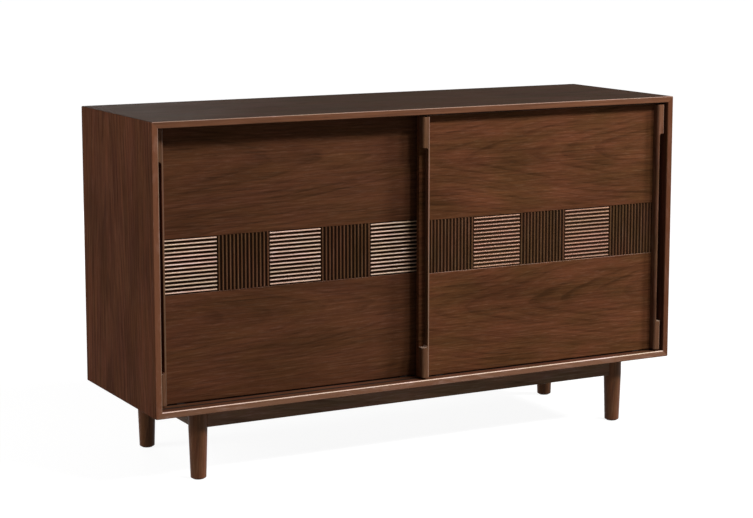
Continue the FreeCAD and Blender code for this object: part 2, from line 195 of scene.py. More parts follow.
class Graph:
    """Short ways to add linked nodes to one node tree."""

    def __init__(self, tree: NodeTree) -> None:
        """Keep the tree that the nodes go into."""
        self.tree = tree

    def node(self, kind: str, inputs: dict[Any, Any] | None = None, **settings: Any) -> Node:
        """Add one node.

        Args:
            kind: Node type without the leading "ShaderNode".
            inputs: Socket name or index with a constant or a socket to link from.
            settings: Properties of the node, which are set first.

        Returns:
            The new node.
        """
        made = self.tree.nodes.new("ShaderNode" + kind)
        for name, value in settings.items():
            setattr(made, name, value)
        for key, value in (inputs or {}).items():
            if isinstance(value, Socket):
                self.link(value, made.inputs[key])
            else:
                made.inputs[key].default_value = value
        return made

    def link(self, source: Socket, target: Socket) -> None:
        """Link an output to an input."""
        self.tree.links.new(source, target)

    def spot(self) -> Socket:
        """Return the place in the object, in metres."""
        return self.node("TexCoord").outputs["Object"]

    def effect(self, group: NodeTree, inputs: dict[str, Any]) -> Any:
        """Return the outputs of a shared effect."""
        return self.node("Group", inputs, node_tree=group).outputs

    def math(self, operation: str, first: Any, second: Any = 0.0, third: Any = 0.0) -> Socket:
        """Return the result of a Math node on up to three values or sockets."""
        return self.node("Math", {0: first, 1: second, 2: third}, operation=operation).outputs[0]

    def noise(self, vector: Socket, scale: Any, detail: float = 2.0,
              roughness: float = 0.5) -> Socket:
        """Return the grey value of a 3-D noise texture."""
        settings = {"Vector": vector, "Scale": scale, "Detail": detail, "Roughness": roughness}
        return self.node("TexNoise", settings).outputs["Fac"]

    def remap(self, value: Any, low: float, high: float, to_low: Any = 0.0, to_high: Any = 1.0,
              smooth: bool = False) -> Socket:
        """Carry a value from one range to another and clamp it there.

        Args:
            value: Value or socket.
            low: Value that becomes to_low.
            high: Value that becomes to_high.
            to_low: Start of the new range.
            to_high: End of the new range.
            smooth: True for a change that starts and ends gently.

        Returns:
            The new value.
        """
        kind = "SMOOTHSTEP" if smooth else "LINEAR"
        inputs = {0: value, 1: low, 2: high, 3: to_low, 4: to_high}
        return self.node("MapRange", inputs, interpolation_type=kind).outputs[0]

    def blend(self, factor: Any, first: Any, second: Any, mode: str = "MIX") -> Socket:
        """Return a mix of two colours."""
        inputs = {0: factor, 6: first, 7: second}
        return self.node("Mix", inputs, data_type="RGBA", blend_type=mode).outputs[2]

    def stretched(self, vector: Socket, along: float, across: float) -> Socket:
        """Return the vector scaled by one amount along the grain and another across it."""
        scale = (along, across, across)
        return self.node("VectorMath", {0: vector, 1: scale}, operation="MULTIPLY").outputs[0]

    def bump(self, height: Socket, strength: float, distance: float) -> Socket:
        """Return the normal that a height gives."""
        inputs = {"Strength": strength, "Distance": distance, "Height": height}
        return self.node("Bump", inputs).outputs[0]

    def seen(self) -> Socket:
        """Tell the camera's own view from the light that falls on things.

        Returns:
            1 where the camera sees a surface, also in gloss or through glass, and 0 elsewhere.
        """
        rays = self.node("LightPath").outputs
        seen = self.math("MAXIMUM", rays["Is Camera Ray"], rays["Is Glossy Ray"])
        return self.math("MAXIMUM", seen, rays["Is Transmission Ray"])


def new_group(name: str, inputs: dict[str, tuple[str, Any]], outputs: Sequence[str],
              fill: Callable[[Graph, Node], dict[str, Socket]]) -> NodeTree:
    """Make a shader node group that puts out masks and values.

    Args:
        name: Name of the group.
        inputs: Input names with their socket types and defaults.
        outputs: Output names, all of numbers.
        fill: Adds the nodes and returns the socket for each output.

    Returns:
        The finished group.
    """
    tree = bpy.data.node_groups.new(name, "ShaderNodeTree")
    for label, (kind, default) in inputs.items():
        socket = tree.interface.new_socket(name=label, in_out="INPUT", socket_type=kind)
        if default is not None:
            socket.default_value = default
    for label in outputs:
        tree.interface.new_socket(name=label, in_out="OUTPUT", socket_type="NodeSocketFloat")
    entry = tree.nodes.new("NodeGroupInput")
    end = tree.nodes.new("NodeGroupOutput")
    for label, socket in fill(Graph(tree), entry).items():
        tree.links.new(socket, end.inputs[label])
    return tree


def fill_figure(graph: Graph, entry: Node) -> dict[str, Socket]:
    """Figure of a board cut from a log that lies along X: lines, fibres, pores, patches, painted
    sheen.

    Args:
        graph: Tree to fill.
        entry: Its input node, with Vector, Ring Spacing, Taper, Sway and Leaf.

    Returns:
        Sockets for Rings, Fibre, Strokes, Gleam, Cloud and Warmth.
    """
    vector = entry.outputs["Vector"]
    slow = graph.noise(graph.stretched(vector, *SLOW_SWAY), 1.0, 1.0)
    quick = graph.noise(graph.stretched(vector, *QUICK_SWAY), 1.0, 2.0)
    sway = graph.math("MULTIPLY", graph.math("SUBTRACT", slow, 0.5), entry.outputs["Sway"])

    # Distance from the log's heart, where each leaf of veneer repeats the one beside it
    part = graph.node("SeparateXYZ", {0: vector}).outputs
    half = graph.math("MULTIPLY", entry.outputs["Leaf"], 0.5)
    across = graph.math("WRAP", part["Y"], half, graph.math("MULTIPLY", half, -1.0))
    across = graph.math("ADD", across, sway)
    radius = graph.math("SQRT", graph.math("ADD", graph.math("POWER", across, 2.0),
                                           graph.math("POWER", part["Z"], 2.0)))
    height = graph.math("MULTIPLY_ADD", part["X"], entry.outputs["Taper"], radius)
    height = graph.math("MULTIPLY_ADD", quick, QUICK_SWAY_DEPTH, height)
    phase = graph.math("DIVIDE", height, entry.outputs["Ring Spacing"])

    # Broad growth bands and a fine late line in each ring, which fades in places
    along = graph.math("MULTIPLY", part["X"], GROWTH_BANDS)
    unrolled = graph.node("CombineXYZ", {0: along, 1: phase}).outputs[0]
    growth = graph.remap(graph.noise(unrolled, 1.0, 4.0, 0.6), *SOFT)
    late = graph.math("FRACT", phase)
    starts, darkest, ends = LATE_WOOD
    line = graph.math("MULTIPLY", graph.remap(late, starts, darkest, smooth=True),
                      graph.remap(late, darkest, ends, 1.0, 0.0, smooth=True))
    faded = graph.remap(graph.noise(graph.stretched(vector, *FADING), 1.0, 2.0), *FIRM, LEAST_LINE)
    rings = graph.math("MULTIPLY_ADD", graph.math("MULTIPLY", line, faded), LINE_SHARE,
                       graph.math("MULTIPLY", growth, GROWTH_SHARE))

    # Fibres, pores that gather on the late lines, and streaks of painted sheen
    fibre = graph.noise(graph.stretched(vector, *FIBRES), 1.0, 5.0, 0.75)
    dashes = graph.noise(graph.stretched(vector, *DASHES), 1.0, 2.0)
    near_line = graph.math("MULTIPLY_ADD", line, PORES_ON_LINES, dashes)
    axes = zip((part["X"], across, height), STREAKS)
    streaked = {i: graph.math("MULTIPLY", axis, repeats) for i, (axis, repeats) in enumerate(axes)}
    gleam = graph.noise(graph.node("CombineXYZ", streaked).outputs[0], 1.0, 4.0, 0.7)
    return {
        "Rings": rings,
        "Fibre": graph.remap(fibre, *SOFT),
        "Strokes": graph.remap(near_line, *STROKE_PEAKS),
        "Gleam": graph.remap(gleam, *GLEAM_PEAKS),
        "Cloud": graph.remap(graph.noise(graph.stretched(vector, *CLOUDS), 1.0, 3.0), *SOFT),
        "Warmth": graph.remap(graph.noise(graph.stretched(vector, *WARM_PATCHES), 1.0, 2.0), *FIRM),
    }


def fill_handling(graph: Graph, entry: Node) -> dict[str, Socket]:
    """Faint smears of uneven sheen, as cleaning and hands leave on a finish.

    Args:
        graph: Tree to fill.
        entry: Its input node, with Vector.

    Returns:
        Socket for Smears, from 0 to MOST_SMEARS.
    """
    broad = graph.noise(entry.outputs["Vector"], BROAD_SMEARS, 3.0, 0.6)
    broad = graph.remap(broad, *SMEAR_PEAKS)
    fine = graph.noise(entry.outputs["Vector"], FINE_SMEARS, 2.0)
    return {"Smears": graph.math("MULTIPLY_ADD", fine, FINE_SHARE, broad)}


def fill_stipple(graph: Graph, entry: Node) -> dict[str, Socket]:
    """Fine even stipple of plastic, rubber, felt or metal, from Vector and Grain Size to Mask."""
    scale = graph.math("DIVIDE", 1.0, entry.outputs["Grain Size"])
    return {"Mask": graph.remap(graph.noise(entry.outputs["Vector"], scale, 3.0), *FIRM)}


class Effects:
    """The node groups that several finishes share, each built once."""

    def __init__(self) -> None:
        """Build the groups."""
        number = "NodeSocketFloat"
        vector = {"Vector": ("NodeSocketVector", None)}
        sizes = {name: (number, 1.0) for name in ("Ring Spacing", "Taper", "Sway", "Leaf")}
        marks = ("Rings", "Fibre", "Strokes", "Gleam", "Cloud", "Warmth")
        grain = {"Grain Size": (number, MM)}
        self.figure = new_group("Walnut figure", vector | sizes, marks, fill_figure)
        self.handling = new_group("Uneven sheen", vector, ("Smears",), fill_handling)
        self.stipple = new_group("Moulded stipple", vector | grain, ("Mask",), fill_stipple)


EFFECTS = Effects()


def blank_material(name: str) -> tuple[Material, Graph, Node]:
    """Make a material with a lone Principled shader.

    Args:
        name: Name of the material.

    Returns:
        The material, its graph and its shader.
    """
    made = bpy.data.materials.new(name)
    made.use_nodes = True
    return made, Graph(made.node_tree), made.node_tree.nodes["Principled BSDF"]


def worn_sheen(graph: Graph, smears: Socket, roughness: float,
               spread: tuple[float, float]) -> Socket:
    """Return the roughness of a finish that is cleaner in some spots and more handled in others."""
    return graph.remap(smears, 0.0, MOST_SMEARS, roughness + spread[0], roughness + spread[1])


# Finishes


@dataclass(frozen=True)
class Walnut:
    """Lacquered walnut: its slot in the record, its colours and how its figure and gloss look."""

    slot: str
    pale: str
    dark: str
    ring_spacing: float = 13 * MM
    taper: float = 0.06
    sway: float = 40 * MM
    leaf: float = 10.0
    ring_depth: float = 0.5
    fibre_depth: float = 0.5
    cloud_depth: float = 0.35
    stroke_depth: float = 0.3
    gleam_depth: float = 0.9
    olive: str = "f0ffec"
    roughness: float = 0.45
    specular: float = 0.06
    gloss_tint: str = "ffffff"
    banding: str = ""

    def material(self, name: str, run: Run, heart: Sequence[float]) -> Material:
        """Make the wood for one piece.

        Args:
            name: Name of the material.
            run: Way the grain runs.
            heart: Place of the log's heart, in object axes, in metres.

        Returns:
            The material.
        """
        made, graph, shader = blank_material(name)
        spot = graph.spot()
        figure = self.figure(graph, spot, run, heart)
        graph.link(self.colour(graph, spot, figure), shader.inputs["Base Color"])
        smears = graph.effect(EFFECTS.handling, {"Vector": spot})["Smears"]
        sheen = worn_sheen(graph, smears, self.roughness, WOOD_SHEEN)
        sheen = graph.math("MULTIPLY_ADD", figure["Strokes"], PORE_DULLNESS, sheen)
        graph.link(sheen, shader.inputs["Roughness"])
        shader.inputs["Specular IOR Level"].default_value = self.specular
        shader.inputs["Specular Tint"].default_value = tone(self.gloss_tint)
        relief = graph.math("MULTIPLY_ADD", figure["Strokes"], PORE_RELIEF,
                            graph.math("MULTIPLY", figure["Fibre"], FIBRE_RELIEF))
        graph.link(graph.bump(relief, RELIEF_STRENGTH, RELIEF_HEIGHT), shader.inputs["Normal"])
        return made

    def figure(self, graph: Graph, spot: Socket, run: Run, heart: Sequence[float]) -> Any:
        """Lay the log along the grain of one piece.

        Args:
            graph: Tree of the material.
            spot: Place in the object.
            run: Way the grain runs.
            heart: Place of the log's heart.

        Returns:
            The outputs of the walnut figure.
        """
        moved = graph.node("Mapping", {"Vector": spot, "Location": [-h for h in heart]}).outputs[0]
        axes = graph.node("SeparateXYZ", {0: moved}).outputs
        laid = graph.node("CombineXYZ", {i: axes[a] for i, a in enumerate(run.value)}).outputs[0]
        sizes = {"Ring Spacing": self.ring_spacing, "Taper": self.taper, "Sway": self.sway,
                 "Leaf": self.leaf}
        return graph.effect(EFFECTS.figure, {"Vector": laid} | sizes)

    def colour(self, graph: Graph, spot: Socket, figure: Any) -> Socket:
        """Colour the figure, with paler banding on the front edges if there is any, and painted
        sheen.

        Args:
            graph: Tree of the material.
            spot: Place in the object.
            figure: Outputs of the walnut figure.

        Returns:
            The colour.
        """
        depth = graph.math("MULTIPLY", figure["Rings"], self.ring_depth)
        depth = graph.math("MULTIPLY_ADD", figure["Fibre"], self.fibre_depth, depth)
        depth = graph.math("MULTIPLY_ADD", figure["Cloud"], self.cloud_depth, depth)
        colour = graph.blend(depth, tone(self.pale), tone(self.dark))
        colour = graph.blend(figure["Warmth"], colour, tone(self.olive), "MULTIPLY")
        if self.banding:
            front = graph.node("SeparateXYZ", {0: spot}).outputs["Y"]
            starts = CAD_BOX[0][1] + BANDING_DEPTH
            strip = graph.remap(front, starts, starts - BANDING_EDGE)
            fibre = graph.math("MULTIPLY", figure["Fibre"], BANDING_FIBRE)
            lighter = graph.blend(fibre, tone(self.banding), tone(self.pale))
            colour = graph.blend(strip, colour, lighter)
        pores = graph.math("MULTIPLY", figure["Strokes"], self.stroke_depth)
        colour = graph.blend(pores, colour, tone(PORE_COLOUR))
        # Painted sheen: paler, greyer streaks along the figure
        gleam = graph.math("MULTIPLY", figure["Gleam"], self.gleam_depth)
        return graph.blend(gleam, colour, GLEAM_GAIN, "MULTIPLY")


@dataclass(frozen=True)
class Ribs:
    """Finishes of a band: level ribs' tops, their fronts' painted highlight, upright ribs, and
    painted shade.
    """

    # Painted light: level tops are a paler, glossier copy of the rib wood, for the light from above
    level: Walnut
    # Painted highlight on the fronts of level ribs
    glint: Walnut
    upright: Walnut
    # Painted shade in the grooves and on the undersides of level ribs
    groove: Walnut


@dataclass(frozen=True)
class Moulded:
    """Plastic, rubber, felt or metal with a fine stipple, for pieces too small for figure."""

    slot: str
    colour: str
    worn: str
    grain_size: float = 0.8 * MM
    roughness: float = 0.5
    relief: float = 0.2
    specular: float = 0.5
    metallic: float = 0.0
    stipple_share: float = 0.35
    smears_share: float = 0.3
    relief_height: float = 0.1 * MM

    @cache
    def material(self) -> Material:
        """Make the material, once for all the pieces that have it.

        Returns:
            The material.
        """
        made, graph, shader = blank_material(self.slot)
        spot = graph.spot()
        stipple = graph.effect(EFFECTS.stipple, {"Vector": spot, "Grain Size": self.grain_size})
        mask = stipple["Mask"]
        smears = graph.effect(EFFECTS.handling, {"Vector": spot})["Smears"]
        wear = graph.math("MULTIPLY", mask, self.stipple_share)
        wear = graph.math("MULTIPLY_ADD", smears, self.smears_share, wear)
        colour = graph.blend(wear, tone(self.colour), tone(self.worn))
        graph.link(colour, shader.inputs["Base Color"])
        sheen = worn_sheen(graph, smears, self.roughness, MOULDED_SHEEN)
        graph.link(sheen, shader.inputs["Roughness"])
        shader.inputs["Specular IOR Level"].default_value = self.specular
        shader.inputs["Metallic"].default_value = self.metallic
        graph.link(graph.bump(mask, self.relief, self.relief_height), shader.inputs["Normal"])
        return made


CASE_WOOD = Walnut("case_walnut", "6b4130", "46281c", specular=0.012, roughness=0.65,
                   banding="7a5039")
LEFT_SIDE_WOOD = replace(CASE_WOOD, pale="784732", dark="462719", ring_depth=0.65, fibre_depth=0.7,
                         olive="f8ffef")
# Painted shade: the right side's front banding is darker, standing in for light falling off towards
# the right
RIGHT_SIDE_WOOD = replace(CASE_WOOD, banding="5d3925")
BOTTOM_WOOD = replace(CASE_WOOD, banding="84604a")
# Painted shade: the top is a much darker copy of the case walnut, to darken it against the light
# from above
TOP_WOOD = replace(CASE_WOOD, pale="402a20", dark="2a1c14", gleam_depth=0.25, specular=0.006)
# Painted highlight: a paler, glossier copy of the walnut for roundings that face the lamps
PAINTED_ARRIS_HIGHLIGHT = Walnut("case_walnut", "8a6454", "6a483b", roughness=0.36, specular=0.6,
                    stroke_depth=0.1, gloss_tint="ffe0cc")
# Painted highlight, dimmer, for the left door's grips
DIM_PAINTED_ARRIS_HIGHLIGHT = replace(PAINTED_ARRIS_HIGHLIGHT, pale="6a4838", dark="513527", specular=0.2)
# Painted highlight, brightest, for the bottom board's roundings and the ledge at each notch's foot
LEDGE_PAINTED_ARRIS_HIGHLIGHT = replace(PAINTED_ARRIS_HIGHLIGHT, pale="dab6a6", dark="b59080", roughness=0.3, specular=0.9,
                           gloss_tint="ffece2")
INTERIOR_WOOD = Walnut("interior_walnut", "65402d", "442a1d")
BACK_WOOD = Walnut("back_board", "7a5238", "5c3d2a", ring_depth=0.25)
PLYWOOD = Walnut("plywood", "b98d62", "8f6a45", ring_spacing=2 * MM)
# Painted light: the aprons and corner braces are paler than the legs, standing in for light bounced
# up from the floor
APRON_WOOD = Walnut("base_walnut", "9a705c", "66493b", roughness=0.5, specular=0.06)
LEG_WOOD = Walnut("base_walnut", "7e4b30", "4f2d1d", roughness=0.48, specular=0.12)
LEFT_DOOR_WOOD = Walnut("door_walnut", "683e29", "3d2315", specular=0.03, roughness=0.55,
                        taper=0.1, leaf=360 * MM, ring_depth=0.4, fibre_depth=0.6, olive="f8ffef")
RIGHT_DOOR_WOOD = Walnut("door_walnut", "73442c", "412414", specular=0.03, roughness=0.55,
                         taper=-0.14, leaf=360 * MM, ring_depth=0.4, fibre_depth=0.65)
GRIP_WOOD = Walnut("grip_walnut", "7d523d", "543527", specular=0.04)

RIB_WOOD = Walnut("band_walnut", "6c452f", "4a2e1e", specular=0.04, stroke_depth=0.2)
# Painted shade: a near-black copy of the rib wood for grooves and the undersides of level ribs
PAINTED_GROOVE_SHADE = replace(RIB_WOOD, pale="2c1a11", dark="1e120b", roughness=0.6, specular=0.02)
# Each door's band has its own tones and highlight strength, for the light that reaches it
LEFT_BAND = Ribs(
    level=replace(RIB_WOOD, pale="7d5646", dark="573b2e", roughness=0.4, specular=0.35),
    glint=replace(RIB_WOOD, pale="edbda5", dark="ba8d78", roughness=0.28, specular=1.0,
                  gloss_tint="ffe8dc"),
    upright=RIB_WOOD,
    groove=PAINTED_GROOVE_SHADE)
RIGHT_BAND = Ribs(
    level=replace(RIB_WOOD, pale="7a5040", dark="56382b", roughness=0.4, specular=0.3),
    glint=replace(RIB_WOOD, pale="bb8064", dark="885a43", roughness=0.3, specular=0.8,
                  gloss_tint="ffdcc8"),
    upright=replace(RIB_WOOD, pale="704932", dark="4b3121"),
    groove=replace(PAINTED_GROOVE_SHADE, pale="40281c", dark="2d1c13"))

# Painted shade in part: the tracks are dark plastic, made darker still to deepen the shade in the
# gap under the doors
TRACK_PLASTIC = Moulded("track_plastic", "150f0c", "211915", specular=0.3)
BUFFER_RUBBER = Moulded("buffer_rubber", "262423", "343130", roughness=0.75, relief=0.3)
GLIDE_FELT = Moulded("glide_felt", "352c27", "4d433c", grain_size=0.4 * MM, roughness=0.9,
                     relief=0.6)
HOUSING_PLASTIC = Moulded("housing_plastic", "353434", "454342")
GUIDE_NYLON = Moulded("guide_nylon", "3a3330", "4c4541", roughness=0.45)
ROLLER_NYLON = Moulded("roller_nylon", "2e2b29", "45403c", roughness=0.4)
AXLE_STEEL = Moulded("axle_steel", "b9b8b5", "9d9b97", grain_size=0.3 * MM, roughness=0.3,
                     relief=0.1, metallic=1.0)


# Meshes


def weld(shape: Shape) -> None:
    """Join loose triangles at their corners and merge those that lie in one plane.

    Args:
        shape: Mesh to change.
    """
    bmesh.ops.remove_doubles(shape, verts=shape.verts, dist=CORNER_MERGE)
    bmesh.ops.dissolve_limit(shape, angle_limit=math.radians(PLANE), verts=shape.verts,
                             edges=shape.edges)


def sharp_edges(shape: Shape, least: float) -> list[Edge]:
    """Return the edges where two faces meet at more than an angle in degrees."""
    limit = math.radians(least)
    return [e for e in shape.edges if len(e.link_faces) == 2 and e.calc_face_angle(0.0) > limit]


def ease_edges(shape: Shape, edges: list[Edge], width: float, steps: int = 2) -> None:
    """Round edges of a mesh in a number of strips, from a width in metres beside them."""
    bmesh.ops.bevel(shape, geom=edges, offset=width, offset_type="OFFSET", segments=steps,
                    profile=0.5, affect="EDGES", clamp_overlap=True, material=-1)


def cuboid(low: Sequence[float], high: Sequence[float]) -> Shape:
    """Make a box between two corners.

    Args:
        low: Lowest corner.
        high: Highest corner.

    Returns:
        The box.
    """
    shape = bmesh.new()
    bmesh.ops.create_cube(shape, size=1.0)
    size = Vector(high) - Vector(low)
    bmesh.ops.scale(shape, vec=size, verts=shape.verts)
    bmesh.ops.translate(shape, vec=Vector(low) + size / 2, verts=shape.verts)
    return shape


def turned(profile: Sequence[tuple[float, float]], middle: Vector, steps: int) -> Shape:
    """Spin an outline round an upright axis.

    Args:
        profile: Radius and height of each point, the first and last on the axis.
        middle: Place of the axis.
        steps: Number of facets round the axis.

    Returns:
        The closed mesh, with its faces pointing outwards.
    """
    shape = bmesh.new()
    points = [shape.verts.new((radius, 0.0, height)) for radius, height in profile]
    outline = [shape.edges.new(pair) for pair in zip(points, points[1:])]
    bmesh.ops.spin(shape, geom=points + outline, cent=(0, 0, 0), axis=(0, 0, 1), angle=math.tau,
                   steps=steps, use_merge=True)
    bmesh.ops.remove_doubles(shape, verts=shape.verts, dist=SPIN_MERGE)
    bmesh.ops.recalc_face_normals(shape, faces=shape.faces)
    bmesh.ops.translate(shape, vec=middle, verts=shape.verts)
    return shape


def joined(shapes: Iterable[Shape]) -> Shape:
    """Put several meshes into one.

    Args:
        shapes: Meshes, which are freed.

    Returns:
        The mesh that holds them all.
    """
    whole = bmesh.new()
    for shape in shapes:
        loose = bpy.data.meshes.new("loose")
        shape.to_mesh(loose)
        shape.free()
        whole.from_mesh(loose)
        bpy.data.meshes.remove(loose)
    return whole


def place(shape: Shape, name: str, body: str, slot: str, materials: Sequence[Material],
          stands_for: Sequence[str] = (), smooth_below: float = 35.0,
          finish_of: Callable[[Face], int] = lambda face: 0) -> None:
    """Turn a mesh into a finished piece that rides on a body.

    Args:
        shape: Mesh in its place, which is freed.
        name: Name of the piece.
        body: Body that carries it.
        slot: Material slot of the record; not used.
        materials: Finishes.
        stands_for: Nodes that the piece replaces.
        smooth_below: Faces that meet at less than this angle in degrees shade as one.
        finish_of: Gives the number of each face's finish.
    """
    for face in shape.faces:
        face.smooth = True
        face.material_index = finish_of(face)
    for edge in sharp_edges(shape, smooth_below):
        edge.smooth = False
    mesh = bpy.data.meshes.new(name)
    shape.to_mesh(mesh)
    shape.free()
    piece = bpy.data.objects.new(name, mesh)
    bpy.context.scene.collection.objects.link(piece)
    for material in materials:
        mesh.materials.append(material)
    even = piece.modifiers.new("Even shading", "WEIGHTED_NORMAL")
    even.keep_sharp = True
    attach(piece, body)
    if stands_for:
        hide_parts(*stands_for)
    LOG.info("%s rides on %s with %d faces", name, body, len(mesh.polygons))


def dress(node: str, material: Material) -> None:
    """Give a node that keeps its own mesh its finish.

    Args:
        node: Node to dress.
        material: Finish.
    """
    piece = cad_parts[node]
    if not piece.material_slots:
        piece.data.materials.append(material)
    for slot in piece.material_slots:
        slot.material = material
    LOG.info("%s keeps its own mesh", node)


def copy_of(node: str) -> Shape:
    """Copy a node's mesh, whose triangles are loose, and merge it.

    Args:
        node: Node to copy.

    Returns:
        The merged copy.
    """
    shape = bmesh.new()
    shape.from_mesh(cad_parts[node].data)
    weld(shape)
    return shape


def refine(node: str, body: str, wood: Walnut, run: Run, heart: Sequence[float], ease: float = 0.0,
           sharper_than: float = CORNER, painted_highlights: Sequence[Walnut] = (),
           finish_of: Callable[[Face], int] = lambda face: 0,
           reshape: Callable[[Shape], None] | None = None) -> None:
    """Replace a wooden node by a smooth copy with its corners eased.

    Args:
        node: Node to replace.
        body: Body that carries it.
        wood: Finish.
        run: Way the grain runs.
        heart: Place of the log's heart.
        ease: Width of the easing, or 0 for none.
        sharper_than: Corners above this angle in degrees are eased.
        painted_highlights: Further finishes, paler and glossier, that paint highlights on edges.
        finish_of: Gives the number of each face's finish, where 0 is the wood.
        reshape: Changes the copy before its corners are eased.
    """
    shape = copy_of(node)
    if reshape:
        reshape(shape)
    if ease:
        ease_edges(shape, sharp_edges(shape, sharper_than), ease)
    name = node + "_finished"
    finishes = [wood.material(name, run, heart)]
    finishes += [w.material(f"{name}_rubbed_{i}", run, heart) for i, w in enumerate(painted_highlights, 1)]
    place(shape, name, body, wood.slot, finishes, [node], finish_of=finish_of)


def rounded(face: Face) -> bool:
    """Return whether a face belongs to a rounding and not to a flat side."""
    return max(map(abs, face.normal)) < FLAT


def painted_highlights_finish(face: Face) -> int:
    """Return 1 for a rounding of a board that gets a painted highlight, and 0 elsewhere."""
    return int(rounded(face) and face.normal.x > PAINTED_HIGHLIGHT_ABOVE and face.normal.z > PAINTED_HIGHLIGHT_ABOVE)


def grip_finish(face: Face) -> int:
    """Choose the finish of one face of a grip.

    Args:
        face: Face of the grip.

    Returns:
        1 and 2 for painted highlights on right-facing roundings and on the notch's foot, and 0
        elsewhere.
    """
    low, high = NOTCH_FOOT
    if low < face.calc_center_median().z < high and face.normal.z > GRIP_HIGHLIGHT_ABOVE:
        return 2
    return int(rounded(face) and face.normal.x > GRIP_HIGHLIGHT_ABOVE)


def round_foot(shape: Shape) -> None:
    """Round the lower front edge of a door board.

    Args:
        shape: Board, which faces the front.
    """
    low = Vector(min(v.co[axis] for v in shape.verts) for axis in range(3))
    foot = [e for e in shape.edges if all(v.co.y < low.y + TOUCH and v.co.z < low.z + TOUCH
                                          for v in e.verts)]
    ease_edges(shape, foot, FOOT_ROUND, FOOT_STEPS)


def widen_opening(shape: Shape) -> None:
    """Widen the small rounding of a board's inner front edge.

    Args:
        shape: Board, whose rounding meets the next board's at each mitre.
    """
    low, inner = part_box("left_side_panel")
    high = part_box("right_side_panel")[1]
    board = inner.x - low.x
    for x in (low.x + board, high.x - board):
        for z in (low.z + board, high.z - board):
            corner = Vector((x, low.y, z))
            near = [v for v in shape.verts if (v.co - corner).length < board / 4]
            about = Matrix.Translation(-corner)
            bmesh.ops.scale(shape, vec=(ARRIS_GROWTH,) * 3, space=about, verts=near)


# Sub-assemblies


